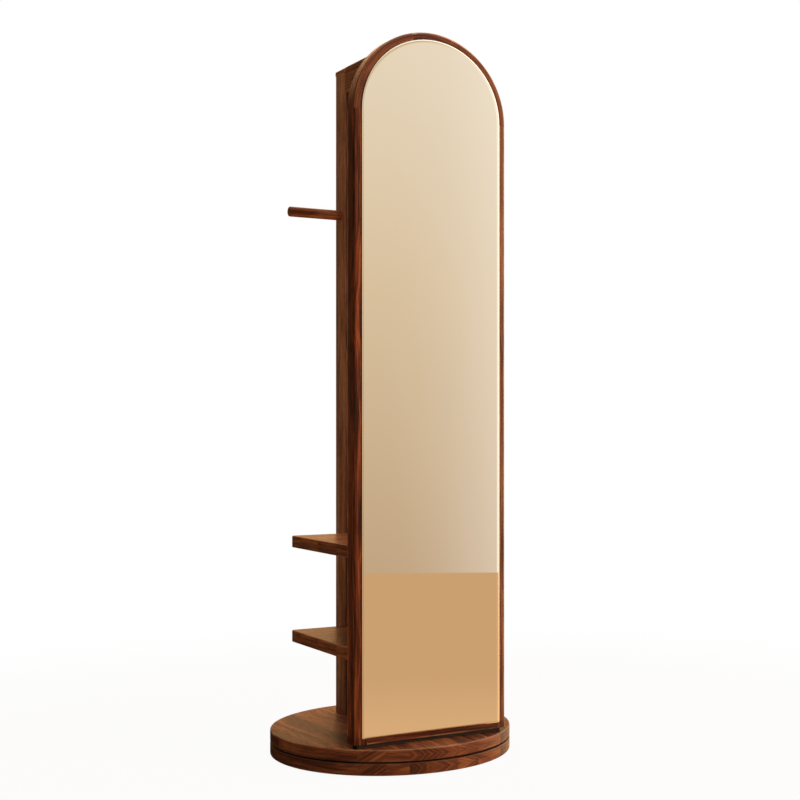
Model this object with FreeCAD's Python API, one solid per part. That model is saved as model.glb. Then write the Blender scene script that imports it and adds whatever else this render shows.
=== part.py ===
import FreeCAD, Part
import math
import os

# Rotating floor mirror with a clothes rack behind it.
# The frame stands on a turntable that turns on a round base, about +Z through the origin.
# The glass faces -Y. The origin is on the floor, under the middle of the base. Millimetres.

# Driving sizes
base_radius = 290.0
board = 28.5
pad_proud = 2.0
turn_gap = 2.0
frame_half = 196.0
frame_top = 1702.0
frame_inset = 70.0
frame_depth = 38.0
frame_stock = 32.0
face_width = 17.8
sill_width = 13.4
frame_gap = 9.0
glass_thickness = 6.0
lower_shelf_top = 286.5
upper_shelf_top = 519.0
column_inset = 72.0
column_depth = 60.0
column_half = 52.0
column_board = 14.0
column_drop = 9.0
rail_drop = 370.0
rail_radius = 12.5
rail_inset = 6.0
crown_half_angle = 15.0

# Clearances
fit_gap = 0.2
turning_gap = 0.3
touch = 0.05
overrun = 5.0

# Heights and planes that follow from them
base_bottom = pad_proud
base_top = base_bottom + board
turn_bottom = base_top + turn_gap
turn_top = turn_bottom + board
frame_bottom = turn_top + frame_gap
arch_centre = frame_top - frame_half
frame_front = frame_inset - base_radius
frame_back = frame_front + frame_depth
frame_mid = frame_front + frame_depth / 2
frame_inner = frame_half - frame_stock
column_back = base_radius - column_inset
column_front = column_back - column_depth
column_mid = column_back - column_depth / 2
column_top = frame_top - column_drop
rail_height = column_top - rail_drop
rail_half = frame_half - rail_inset

# Directions
along_x = FreeCAD.Vector(1, 0, 0)
along_y = FreeCAD.Vector(0, 1, 0)
along_z = FreeCAD.Vector(0, 0, 1)
full_turn = 360.0
half_turn = 180.0
quarter_turn = 90.0


def box(x0, x1, y0, y1, z0, z1):
    return Part.makeBox(x1 - x0, y1 - y0, z1 - z0, FreeCAD.Vector(x0, y0, z0))


def rod(radius, start, end):
    """A round bar between two points."""
    line = end.sub(start)
    return Part.makeCylinder(radius, line.Length, start, line)


def upright(radius, x, y, z0, z1):
    return Part.makeCylinder(radius, z1 - z0, FreeCAD.Vector(x, y, z0), along_z)


def ring(outer, inner, z0, z1):
    return upright(outer, 0, 0, z0, z1).cut(upright(inner, 0, 0, z0, z1))


def on_circle(radius, count, first=0.0):
    """Points spaced evenly round the turning axis."""
    turns = [math.radians(first + full_turn * i / count) for i in range(count)]
    return [(radius * math.cos(a), radius * math.sin(a)) for a in turns]


def rounded(shape, radius, wanted):
    """The shape with the edges that pass the test rounded."""
    return shape.makeFillet(radius, [edge for edge in shape.Edges if wanted(edge)])


def near(a, b):
    return abs(a - b) < touch


def level(edge, z):
    """True for an edge that lies at one height."""
    return near(edge.BoundBox.ZMin, z) and near(edge.BoundBox.ZMax, z)


def arched(half, low, y0, y1, corner=0.0):
    """A plate with straight sides, a round top on the frame's own centre and eased lower corners."""
    left_foot = FreeCAD.Vector(-half, y0, low)
    right_foot = FreeCAD.Vector(half, y0, low)
    left_spring = FreeCAD.Vector(-half, y0, arch_centre)
    right_spring = FreeCAD.Vector(half, y0, arch_centre)
    crown = FreeCAD.Vector(0, y0, arch_centre + half)
    edges = [
        Part.makeLine(left_foot, right_foot),
        Part.makeLine(right_foot, right_spring),
        Part.Arc(right_spring, crown, left_spring).toShape(),
        Part.makeLine(left_spring, left_foot),
    ]
    plate = Part.Face(Part.Wire(edges)).extrude(FreeCAD.Vector(0, y1 - y0, 0))
    if corner:
        plate = rounded(plate, corner, lambda e: level(e, low) and near(e.BoundBox.XLength, 0))
    return plate


def group(points, make):
    """One group of equal pieces, a separate solid at each point."""
    return Part.makeCompound([make(x, y) for x, y in points])


# Turntable bearing
bearing_height = 10.0
bearing_recess = (bearing_height - turn_gap) / 2
bearing_floor = base_top - bearing_recess
bearing_ceiling = turn_bottom + bearing_recess
bearing_mid = (bearing_floor + bearing_ceiling) / 2
ring_plate = 3.5
ball_radius = 3.0
ball_count = 24
track_radius = 130.0
track_lip = 8.0
ring_flange = 20.0
cage_plate = 2.0
cage_margin = 7.0
pocket_gap = 1.0
lower_ring_top = bearing_floor + ring_plate
upper_ring_bottom = bearing_ceiling - ring_plate
pocket_radius = track_radius + ring_flange + pocket_gap
ring_screw_count = 6
ring_screw_inset = 5.5
lower_screw_circle = track_radius + ring_flange - ring_screw_inset
upper_screw_circle = track_radius - ring_flange + ring_screw_inset
upper_screw_turn = 30.0
ring_screw_radius = 1.75
ring_screw_head = 3.6
ring_screw_sink = 1.9
ring_screw_length = 18.0
driver_hole_radius = 7.0

# Foot pads under the base
pad_count = 6
pad_circle = 245.0
pad_radius = 20.0
pad_thickness = 5.0
pad_screw_radius = 1.75
pad_screw_head = 4.2
pad_screw_head_height = 1.7
pad_screw_recess = 2.5
pad_screw_length = 16.0

# Centre pivot that keeps the turntable from lifting
pivot_radius = 5.0
pivot_well_radius = 16.0
pivot_well_depth = 10.0
pivot_head_radius = 8.7
hexagon = 6
pivot_head_height = 6.0
washer_radius = 11.0
washer_thickness = 1.7
bush_wall = 2.7
bush_flange_radius = 12.0
bush_flange_thickness = 2.0
insert_radius = 7.5
insert_depth = 14.0
insert_flange_radius = 12.0
insert_flange_thickness = 1.5
pivot_well_top = base_bottom + pivot_well_depth
bush_bore = pivot_radius + turning_gap
bush_outer = bush_bore + bush_wall
insert_top = bearing_ceiling + insert_depth

# Rounded edges
disc_edge = 3.0
shelf_edge = 2.0
shelf_corner = 9.0
frame_front_edge = 7.0
frame_back_edge = 2.0
glass_corner = 4.0
column_edge = 4.0
cap_edge = 3.0
rail_end_edge = 4.0

# Glass and the panels behind it
glass_seat = 2.0
glass_gap = 0.5
bevel_width = 7.0
bevel_depth = 1.0
backing_thickness = 9.0
backing_shoulder = 7.0
back_panel_thickness = 5.0
back_panel_lap = 7.6
glass_half = frame_half - face_width - glass_gap
glass_bottom = frame_bottom + sill_width + glass_gap
glass_back = frame_front + glass_seat
backing_back = glass_back + backing_thickness
panel_front = frame_back - back_panel_thickness
panel_half = frame_inner + back_panel_lap
seat_half = frame_half - face_width
step_half = frame_inner + backing_shoulder
shoulder_mid = (seat_half + step_half) / 2

# Bolts from below into the column and the frame
foot_bolt_radius = 4.0
foot_bolt_head = 6.5
foot_bolt_head_height = 6.0
foot_bolt_well = 8.5
foot_bolt_rise = 50.0
foot_bolt_x = 24.0
foot_nut_radius = 6.0
foot_nut_length = 24.0
foot_nut_rise = 38.0
foot_block_height = 70.0
frame_bolt_radius = 3.0
frame_bolt_head = 5.0
frame_bolt_head_height = 4.0
frame_bolt_well = 7.0
frame_bolt_rise = 20.0
frame_bolt_inset = 66.0
sleeve_radius = 5.0
sleeve_length = 22.0
plinth_setback = 8.0
plinth_depth = 24.0
plinth_inset = 11.0
plinth_half = frame_half - plinth_inset
frame_bolt_x = frame_half - frame_bolt_inset

# Connector bolts through the column
link_radius = 3.0
link_head_radius = 8.0
link_head_thickness = 2.5
link_socket_radius = 2.9
link_socket_depth = 2.0
link_reach = 50.0
link_nut_setback = 35.0
link_nut_radius = 5.0
link_nut_length = 20.0
link_x = 22.0

# Stretcher from the column's top to the frame's crown
stretcher_height = 64.0
stretcher_edge = 2.0
stretcher_bottom = column_top - stretcher_height
stretcher_link_z = stretcher_bottom + stretcher_height / 2
cap_thickness = 12.0
boards_top = column_top - cap_thickness
cavity_half = column_half - column_board
cavity_front = column_front + column_board
cavity_back = column_back - column_board
rail_block_height = 60.0

# Wooden dowels and the screws that the glass hides
dowel_radius = 4.0
dowel_length = 40.0
crown_joint_dowel = 20.0
shelf_dowel_inset = 8.0
shelf_dowel_x = frame_half - shelf_dowel_inset
dowel_spare = 2.5
frame_dowel_spacing = 14.0
frame_dowel_reach = frame_half - frame_stock / 2
crown_joint_x = frame_dowel_reach * math.sin(math.radians(crown_half_angle))
stretcher_dowel_x = crown_joint_x - crown_joint_dowel / 2 - dowel_radius - dowel_spare
hidden_screw_radius = 2.0
hidden_screw_head = 3.2
hidden_screw_sink = 2.0
hidden_screw_length = 68.0
stretcher_screw_x = 10.0
crown_fixing_z = arch_centre + shoulder_mid

# Back panel screws
panel_screw_radius = 1.5
panel_screw_head = 3.2
panel_screw_sink = 1.6
panel_screw_length = 14.0
panel_screw_spacing = 290.0
panel_screw_line = frame_inner + back_panel_lap / 2
arch_screw_angles = (30.0, 60.0, 90.0, 120.0, 150.0)

# Rail screw
rail_screw_radius = 2.0
rail_screw_head = 4.0
rail_screw_sink = 2.0
rail_screw_length = 40.0


def countersunk(radius, head, sink, length, seat, direction):
    """A screw whose flat head is flush with the seat and whose shank runs along the direction."""
    axis = FreeCAD.Vector(direction)
    axis.normalize()
    head_end = seat.add(FreeCAD.Vector(axis).multiply(sink))
    tip = seat.add(FreeCAD.Vector(axis).multiply(length))
    cone = Part.makeCone(head, radius, sink, seat, axis)
    return cone.fuse(rod(radius, head_end, tip)).removeSplitter()


def shelf_mids():
    return [lower_shelf_top - board / 2, upper_shelf_top - board / 2]


# Base body

def pivot_holes():
    """The well, the bush's bore and the driver's hole through the base disc."""
    angle = math.radians(upper_screw_turn + full_turn / ring_screw_count)
    x = upper_screw_circle * math.cos(angle)
    y = upper_screw_circle * math.sin(angle)
    well = upright(pivot_well_radius, 0, 0, base_bottom - overrun, pivot_well_top)
    bore = upright(bush_outer + fit_gap, 0, 0, pivot_well_top - overrun, base_top)
    driver = upright(driver_hole_radius, x, y, base_bottom - overrun, base_top)
    return [well, bore, driver]


def pad_points():
    return on_circle(pad_circle, pad_count, half_turn / pad_count)


def base_disc():
    disc = upright(base_radius, 0, 0, base_bottom, base_top)
    disc = rounded(disc, disc_edge, lambda e: level(e, base_bottom) or level(e, base_top))
    pocket = upright(pocket_radius, 0, 0, bearing_floor, base_top + overrun)
    seat_top = pad_thickness
    cuts = [pocket] + pivot_holes()
    for x, y in pad_points():
        cuts.append(upright(pad_radius + fit_gap, x, y, base_bottom - overrun, seat_top))
        cuts.append(upright(pad_screw_radius + fit_gap, x, y, seat_top, pad_screw_recess + pad_screw_length))
    for x, y in on_circle(lower_screw_circle, ring_screw_count):
        low = lower_ring_top - ring_screw_length
        cuts.append(upright(ring_screw_radius + fit_gap, x, y, low, base_top))
    return disc.cut(cuts)


def foot_pad(x, y):
    pad = upright(pad_radius, x, y, 0, pad_thickness)
    hole = upright(pad_screw_radius + fit_gap, x, y, 0, pad_thickness)
    recess = upright(pad_screw_head + fit_gap, x, y, 0, pad_screw_recess)
    return pad.cut([hole, recess])


def foot_screw(x, y):
    head = upright(pad_screw_head, x, y, pad_screw_recess - pad_screw_head_height, pad_screw_recess)
    shank = upright(pad_screw_radius, x, y, pad_screw_recess, pad_screw_recess + pad_screw_length)
    return head.fuse(shank).removeSplitter()


def groove():
    """The space that the balls sweep, a little larger than the balls."""
    centre = FreeCAD.Vector(0, 0, bearing_mid)
    return Part.makeTorus(track_radius, ball_radius + turning_gap, centre, along_z)


def lower_ring_screw(x, y):
    seat = FreeCAD.Vector(x, y, lower_ring_top)
    return countersunk(ring_screw_radius, ring_screw_head, ring_screw_sink, ring_screw_length, seat, -along_z)


def upper_ring_screw(x, y):
    seat = FreeCAD.Vector(x, y, upper_ring_bottom)
    return countersunk(ring_screw_radius, ring_screw_head, ring_screw_sink, ring_screw_length, seat, along_z)


def larger_screw(x, y, seat_z, direction):
    seat = FreeCAD.Vector(x, y, seat_z)
    head = ring_screw_head + fit_gap
    return countersunk(ring_screw_radius + fit_gap, head, ring_screw_sink, ring_screw_length, seat, direction)


def lower_ring():
    plate = ring(track_radius + ring_flange, track_radius - track_lip, bearing_floor, lower_ring_top)
    points = on_circle(lower_screw_circle, ring_screw_count)
    holes = [larger_screw(x, y, lower_ring_top, -along_z) for x, y in points]
    return plate.cut([groove()] + holes)


def upper_ring():
    plate = ring(track_radius + track_lip, track_radius - ring_flange, upper_ring_bottom, bearing_ceiling)
    points = on_circle(upper_screw_circle, ring_screw_count, upper_screw_turn)
    holes = [larger_screw(x, y, upper_ring_bottom, along_z) for x, y in points]
    return plate.cut([groove()] + holes)


def ball_cage():
    low = bearing_mid - cage_plate / 2
    high = bearing_mid + cage_plate / 2
    plate = ring(track_radius + cage_margin, track_radius - cage_margin, low, high)
    points = on_circle(track_radius, ball_count)
    return plate.cut([upright(ball_radius + turning_gap, x, y, low, high) for x, y in points])


def ball(x, y):
    return Part.makeSphere(ball_radius, FreeCAD.Vector(x, y, bearing_mid))


def pivot_bush():
    tube = upright(bush_outer, 0, 0, pivot_well_top, bearing_floor)
    flange = upright(bush_flange_radius, 0, 0, bearing_floor, bearing_floor + bush_flange_thickness)
    bore = upright(bush_bore, 0, 0, pivot_well_top, bearing_floor + bush_flange_thickness)
    return tube.fuse(flange).cut(bore).removeSplitter()


# Turntable body

def pivot_washer():
    high = pivot_well_top - turning_gap
    plate = upright(washer_radius, 0, 0, high - washer_thickness, high)
    return plate.cut(upright(pivot_radius + fit_gap, 0, 0, high - washer_thickness, high))


def pivot_bolt():
    seat = pivot_well_top - turning_gap - washer_thickness
    corners = [FreeCAD.Vector(x, y, seat - pivot_head_height)
               for x, y in on_circle(pivot_head_radius, hexagon)]
    outline = Part.makePolygon(corners + corners[:1])
    head = Part.Face(outline).extrude(FreeCAD.Vector(0, 0, pivot_head_height))
    shank = upright(pivot_radius, 0, 0, seat, insert_top - fit_gap)
    return head.fuse(shank).removeSplitter()


def pivot_insert():
    barrel = upright(insert_radius, 0, 0, bearing_ceiling, insert_top)
    low = bearing_ceiling - insert_flange_thickness
    flange = upright(insert_flange_radius, 0, 0, low, bearing_ceiling)
    bore = upright(pivot_radius + fit_gap, 0, 0, low, insert_top)
    return barrel.fuse(flange).cut(bore).removeSplitter()


def foot_bolt_points():
    return [(-foot_bolt_x, column_mid), (foot_bolt_x, column_mid)]


def frame_bolt_points():
    return [(-frame_bolt_x, frame_mid), (0, frame_mid), (frame_bolt_x, frame_mid)]


def bolt_from_below(x, y, radius, top, head, head_height, well):
    seat = turn_bottom + well
    cap = upright(head, x, y, seat - head_height, seat)
    return cap.fuse(upright(radius, x, y, seat, top)).removeSplitter()


def turntable_disc():
    disc = upright(base_radius, 0, 0, turn_bottom, turn_top)
    disc = rounded(disc, disc_edge, lambda e: level(e, turn_bottom) or level(e, turn_top))
    low = turn_bottom - overrun
    cuts = [upright(pocket_radius, 0, 0, low, bearing_ceiling)]
    cuts.append(upright(insert_radius + fit_gap, 0, 0, low, insert_top))
    for x, y in on_circle(upper_screw_circle, ring_screw_count, upper_screw_turn):
        cuts.append(upright(ring_screw_radius + fit_gap, x, y, low, upper_ring_bottom + ring_screw_length))
    for x, y in foot_bolt_points():
        cuts.append(upright(foot_bolt_head + fit_gap, x, y, low, turn_bottom + foot_bolt_well))
        cuts.append(upright(foot_bolt_radius + fit_gap, x, y, low, turn_top + overrun))
    for x, y in frame_bolt_points():
        cuts.append(upright(frame_bolt_head + fit_gap, x, y, low, turn_bottom + frame_bolt_well))
        cuts.append(upright(frame_bolt_radius + fit_gap, x, y, low, turn_top + overrun))
    return disc.cut(cuts)


def foot_bolt(x, y):
    top = turn_top + foot_bolt_rise
    head = (foot_bolt_head, foot_bolt_head_height, foot_bolt_well)
    return bolt_from_below(x, y, foot_bolt_radius, top, *head)


def foot_nut_blank(x, y, gap=0.0):
    z = turn_top + foot_nut_rise
    start = FreeCAD.Vector(x, y - foot_nut_length / 2, z)
    end = FreeCAD.Vector(x, y + foot_nut_length / 2, z)
    return rod(foot_nut_radius + gap, start, end)


def foot_nut(x, y):
    top = turn_top + foot_bolt_rise
    return foot_nut_blank(x, y).cut(upright(foot_bolt_radius + fit_gap, x, y, turn_top, top))


def frame_bolt(x, y):
    top = frame_bottom + frame_bolt_rise
    head = (frame_bolt_head, frame_bolt_head_height, frame_bolt_well)
    return bolt_from_below(x, y, frame_bolt_radius, top, *head)


def frame_sleeve(x, y):
    top = frame_bottom + sleeve_length
    tube = upright(sleeve_radius, x, y, frame_bottom, top)
    return tube.cut(upright(frame_bolt_radius + fit_gap, x, y, frame_bottom, top))


def frame_plinth():
    front = frame_front + plinth_setback
    bar = box(-plinth_half, plinth_half, front, front + plinth_depth, turn_top, frame_bottom)
    hole = frame_bolt_radius + fit_gap
    return bar.cut([upright(hole, x, y, turn_top, frame_bottom) for x, y in frame_bolt_points()])


# Frame

def frame_blank():
    """The whole frame in one piece, before it is divided at its joints."""
    outer = arched(frame_half, frame_bottom, frame_front, frame_back)
    front = lambda e: near(e.BoundBox.YMin, frame_front) and near(e.BoundBox.YMax, frame_front)
    outer = rounded(outer, frame_front_edge, lambda e: front(e) and not level(e, frame_bottom))
    back = lambda e: near(e.BoundBox.YMin, frame_back) and near(e.BoundBox.YMax, frame_back)
    outer = rounded(outer, frame_back_edge, lambda e: back(e) and not level(e, frame_bottom))
    low = frame_bottom + frame_stock
    opening = arched(frame_inner, low, frame_front - overrun, frame_back + overrun)
    seat_low = frame_bottom + sill_width
    seat = arched(seat_half, seat_low, frame_front - overrun, glass_back, glass_corner + glass_gap)
    step = arched(step_half, low - backing_shoulder, frame_front - overrun, backing_back)
    rebate = arched(panel_half, low - back_panel_lap, panel_front, frame_back + overrun)
    return outer.cut([opening, seat, step, rebate])


def joint_point(angle, reach):
    """A point on the arch at an angle from its top, turning towards +X."""
    a = math.radians(angle)
    return reach * math.sin(a), arch_centre + reach * math.cos(a)


def arch_sector(start, end):
    """A wedge that cuts one piece out of the arch, between two angles from the top."""
    far = frame_half + frame_stock
    y0 = frame_front - overrun
    middle = (start + end) / 2
    flat = [(0, arch_centre)] + [joint_point(a, far / math.cos(math.radians((end - start) / 4)))
                                 for a in (start, middle, end)]
    points = [FreeCAD.Vector(x, y0, z) for x, z in flat]
    outline = Part.makePolygon(points + points[:1])
    return Part.Face(outline).extrude(FreeCAD.Vector(0, frame_depth + 2 * overrun, 0))


def frame_dowels(radius):
    """Dowels in the frame's joints: at the arch's feet, beside its crown and at the lower rail."""
    half = dowel_length / 2
    low = frame_bottom + sill_width / 2
    bars = []
    for side in (-1, 1):
        for y in (frame_mid - frame_dowel_spacing / 2, frame_mid + frame_dowel_spacing / 2):
            foot = FreeCAD.Vector(side * frame_dowel_reach, y, arch_centre)
            bars.append(bar_through(foot, along_z, half, radius))
            bars.append(bar_through(FreeCAD.Vector(side * frame_inner, y, low), along_x, half, radius))
        x, z = joint_point(side * crown_half_angle, frame_dowel_reach)
        a = math.radians(side * crown_half_angle)
        tangent = FreeCAD.Vector(math.cos(a), 0, -math.sin(a))
        bars.append(bar_through(FreeCAD.Vector(x, frame_mid, z), tangent, crown_joint_dowel / 2, radius))
    return bars


def bar_through(middle, direction, half, radius):
    """A round bar that reaches the same length to both sides of its middle."""
    reach = FreeCAD.Vector(direction).multiply(half)
    return rod(radius, middle.sub(reach), middle.add(reach))


def back_dowels(reach, z, radius):
    """A pair of dowels across the frame's back face."""
    return [bar_through(FreeCAD.Vector(x, frame_back, z), along_y, dowel_length / 2, radius)
            for x in (-reach, reach)]


def glass_screws(reach, z, gap=0.0):
    """A pair of screws that start in the floor of the glass's seat, where the glass covers them."""
    return [countersunk(hidden_screw_radius + gap, hidden_screw_head + gap, hidden_screw_sink,
                        hidden_screw_length, FreeCAD.Vector(x, glass_back, z), along_y)
            for x in (-reach, reach)]


def back_fixings(gap=0.0):
    """Every dowel and hidden screw that crosses the frame's back face."""
    bars = back_dowels(stretcher_dowel_x, crown_fixing_z, dowel_radius + gap)
    bars += glass_screws(stretcher_screw_x, crown_fixing_z, gap)
    for z in shelf_mids():
        bars += back_dowels(shelf_dowel_x, z, dowel_radius + gap)
        bars += glass_screws(shoulder_mid, z, gap)
    return bars


def panel_screw_seats():
    """The back panel's screws: up both sides, round the arch and along the bottom."""
    low = frame_bottom + frame_stock - back_panel_lap / 2
    rows = int((arch_centre - low) / panel_screw_spacing)
    step = (arch_centre - low) / rows
    flat = [(x, low + step * i) for x in (-panel_screw_line, panel_screw_line) for i in range(rows + 1)]
    flat.append((0, low))
    flat += [joint_point(a - quarter_turn, panel_screw_line) for a in arch_screw_angles]
    return [FreeCAD.Vector(x, frame_back, z) for x, z in flat]


def panel_screws(gap=0.0):
    radius = panel_screw_radius + gap
    head = panel_screw_head + gap
    return [countersunk(radius, head, panel_screw_sink, panel_screw_length, seat, -along_y)
            for seat in panel_screw_seats()]


def frame_pieces():
    """The frame's stiles, lower rail and three arch pieces, drilled."""
    holes = frame_dowels(dowel_radius + fit_gap) + back_fixings(fit_gap) + panel_screws(fit_gap)
    for x, y in frame_bolt_points():
        holes.append(upright(sleeve_radius + fit_gap, x, y, frame_bottom, frame_bottom + sleeve_length))
    blank = frame_blank().cut(holes)
    y0 = frame_front - overrun
    y1 = frame_back + overrun
    far = frame_half + overrun
    low = frame_bottom - overrun
    return {
        "frame_stile_left": blank.common(box(-far, -frame_inner, y0, y1, low, arch_centre)),
        "frame_stile_right": blank.common(box(frame_inner, far, y0, y1, low, arch_centre)),
        "frame_lower_rail": blank.common(box(-frame_inner, frame_inner, y0, y1, low, arch_centre)),
        "frame_arch_left": blank.common(arch_sector(-quarter_turn, -crown_half_angle)),
        "frame_arch_crown": blank.common(arch_sector(-crown_half_angle, crown_half_angle)),
        "frame_arch_right": blank.common(arch_sector(crown_half_angle, quarter_turn)),
    }


def mirror_glass():
    """A silvered pane with a bevel all round its face."""
    front = glass_back - glass_thickness
    pane = arched(glass_half, glass_bottom, front, glass_back)
    wanted = lambda e: near(e.BoundBox.YMin, front) and near(e.BoundBox.YMax, front)
    edges = [edge for edge in pane.Edges if wanted(edge)]
    pane = pane.makeChamfer(bevel_depth, bevel_width, edges)
    return pane.common(arched(glass_half, glass_bottom, front, glass_back, glass_corner))


def backing_panel():
    half = step_half - fit_gap
    low = frame_bottom + frame_stock - backing_shoulder + fit_gap
    return arched(half, low, glass_back, backing_back)


def back_panel():
    half = panel_half - fit_gap
    low = frame_bottom + frame_stock - back_panel_lap + fit_gap
    return arched(half, low, panel_front, frame_back).cut(panel_screws(fit_gap))


# Clothes rack

def link_points():
    return (-link_x, link_x)


def link_bolt(x, z):
    """A connector bolt, put in from the column's back."""
    back = FreeCAD.Vector(x, column_back, z)
    outer = FreeCAD.Vector(x, column_back + link_head_thickness, z)
    inner = FreeCAD.Vector(x, column_back + link_head_thickness - link_socket_depth, z)
    head = rod(link_head_radius, back, outer).cut(rod(link_socket_radius, inner, outer))
    shank = rod(link_radius, FreeCAD.Vector(x, column_front - link_reach, z), back)
    return head.fuse(shank).removeSplitter()


def link_holes(zs):
    front = column_front - link_reach
    back = column_back + overrun
    return [rod(link_radius + fit_gap, FreeCAD.Vector(x, front, z), FreeCAD.Vector(x, back, z))
            for z in zs for x in link_points()]


def link_nut(x, z):
    """A barrel nut that stands upright across its bolt."""
    half = link_nut_length / 2
    y = column_front - link_nut_setback
    return upright(link_nut_radius, x, y, z - half, z + half).cut(link_holes([z]))


def link_nut_holes(z, low):
    """The holes that the barrel nuts go into from below."""
    y = column_front - link_nut_setback
    high = z + link_nut_length / 2 + fit_gap
    return [upright(link_nut_radius + fit_gap, x, y, low - overrun, high) for x in link_points()]


def shelf(top):
    low = top - board
    middle = top - board / 2
    plate = box(-frame_half, frame_half, frame_back, column_front, low, top)
    corner = lambda e: near(e.BoundBox.YMin, column_front) and near(e.BoundBox.ZLength, board)
    plate = rounded(plate, shelf_corner, corner)
    face = lambda e: (level(e, low) or level(e, top)) and not near(e.BoundBox.YMax, frame_back)
    plate = rounded(plate, shelf_edge, face)
    return plate.cut(link_holes([middle]) + link_nut_holes(middle, low) + back_fixings(fit_gap))


def stretcher():
    bar = box(-column_half, column_half, frame_back, column_front, stretcher_bottom, column_top)
    long_edge = lambda e: near(e.BoundBox.YLength, column_front - frame_back)
    bar = rounded(bar, stretcher_edge, long_edge)
    z = stretcher_link_z
    return bar.cut(link_holes([z]) + link_nut_holes(z, stretcher_bottom) + back_fixings(fit_gap))


def rail(radius, end):
    return bar_through(FreeCAD.Vector(0, column_mid, rail_height), along_x, end, radius)


def rail_screw(gap=0.0):
    seat = FreeCAD.Vector(0, column_back, rail_height)
    head = rail_screw_head + gap
    return countersunk(rail_screw_radius + gap, head, rail_screw_sink, rail_screw_length, seat, -along_y)


def clothes_rail():
    bar = rounded(rail(rail_radius, rail_half), rail_end_edge,
                  lambda e: near(abs(e.BoundBox.XMin), rail_half) and near(e.BoundBox.XLength, 0))
    return bar.cut(rail_screw(fit_gap))


def column_side(side):
    inner = side * cavity_half
    outer = side * column_half
    x0, x1 = min(inner, outer), max(inner, outer)
    plank = box(x0, x1, column_front, column_back, turn_top, boards_top)
    edge = lambda e: near(e.BoundBox.XMin, outer) and near(e.BoundBox.ZLength, boards_top - turn_top)
    plank = rounded(plank, column_edge, edge)
    return plank.cut(rail(rail_radius + fit_gap, rail_half))


def column_holes():
    """What is drilled through the column's boards and blocks: bolts, rail and rail screw."""
    bolts = link_holes(shelf_mids() + [stretcher_link_z])
    return bolts + [rail(rail_radius + fit_gap, rail_half), rail_screw(fit_gap)]


def column_face(y0, y1):
    plank = box(-cavity_half, cavity_half, y0, y1, turn_top, boards_top)
    return plank.cut(column_holes())


def cavity_block(z0, z1):
    block = box(-cavity_half, cavity_half, cavity_front, cavity_back, z0, z1)
    cuts = column_holes()
    for x, y in foot_bolt_points():
        cuts.append(upright(foot_bolt_radius + fit_gap, x, y, turn_top, turn_top + foot_bolt_rise))
        cuts.append(foot_nut_blank(x, y, fit_gap))
    return block.cut(cuts)


def column_cap():
    cap = box(-column_half, column_half, column_front, column_back, boards_top, column_top)
    wanted = lambda e: level(e, column_top) and not near(e.BoundBox.YMax, column_front)
    return rounded(cap, cap_edge, wanted)


def pair_at(z, make):
    """Two equal pieces at one height, a separate solid each."""
    return Part.makeCompound([make(x, z) for x in link_points()])


def base_parts():
    return {
        "base_disc": base_disc(),
        "foot_pads": group(pad_points(), foot_pad),
        "foot_pad_screws": group(pad_points(), foot_screw),
        "bearing_lower_ring": lower_ring(),
        "bearing_lower_screws": group(on_circle(lower_screw_circle, ring_screw_count), lower_ring_screw),
        "pivot_bush": pivot_bush(),
        "bearing_ball_cage": ball_cage(),
        "bearing_balls": group(on_circle(track_radius, ball_count), ball),
    }


def turntable_parts():
    screw_points = on_circle(upper_screw_circle, ring_screw_count, upper_screw_turn)
    return {
        "turntable_disc": turntable_disc(),
        "bearing_upper_ring": upper_ring(),
        "bearing_upper_screws": group(screw_points, upper_ring_screw),
        "pivot_washer": pivot_washer(),
        "pivot_bolt": pivot_bolt(),
        "pivot_insert": pivot_insert(),
    }


def mirror_parts():
    return {
        "frame_plinth": frame_plinth(),
        "frame_bolts": group(frame_bolt_points(), frame_bolt),
        "frame_sleeves": group(frame_bolt_points(), frame_sleeve),
        "frame_dowels": Part.makeCompound(frame_dowels(dowel_radius)),
        "mirror_glass": mirror_glass(),
        "backing_panel": backing_panel(),
        "back_panel": back_panel(),
        "back_panel_screws": Part.makeCompound(panel_screws()),
    }


def shelf_parts(name, top):
    """One shelf with the fasteners that hold it to the column and to the frame."""
    z = top - board / 2
    return {
        f"{name}_shelf": shelf(top),
        f"{name}_shelf_bolts": pair_at(z, link_bolt),
        f"{name}_shelf_nuts": pair_at(z, link_nut),
        f"{name}_shelf_dowels": Part.makeCompound(back_dowels(shelf_dowel_x, z, dowel_radius)),
        f"{name}_shelf_screws": Part.makeCompound(glass_screws(shoulder_mid, z)),
        f"column_{name}_block": cavity_block(z - board / 2, z + board / 2),
    }


def stretcher_parts():
    z = stretcher_link_z
    return {
        "top_stretcher": stretcher(),
        "stretcher_bolts": pair_at(z, link_bolt),
        "stretcher_nuts": pair_at(z, link_nut),
        "stretcher_dowels": Part.makeCompound(back_dowels(stretcher_dowel_x, crown_fixing_z, dowel_radius)),
        "stretcher_screws": Part.makeCompound(glass_screws(stretcher_screw_x, crown_fixing_z)),
    }


def column_parts():
    rail_block_low = rail_height - rail_block_height / 2
    return {
        "column_side_left": column_side(-1),
        "column_side_right": column_side(1),
        "column_front_board": column_face(column_front, cavity_front),
        "column_back_board": column_face(cavity_back, column_back),
        "column_foot_block": cavity_block(turn_top, turn_top + foot_block_height),
        "column_rail_block": cavity_block(rail_block_low, rail_block_low + rail_block_height),
        "column_top_block": cavity_block(stretcher_bottom, boards_top),
        "column_cap": column_cap(),
        "column_bolts": group(foot_bolt_points(), foot_bolt),
        "column_nuts": group(foot_bolt_points(), foot_nut),
        "clothes_rail": clothes_rail(),
        "rail_screw": rail_screw(),
    }


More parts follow.
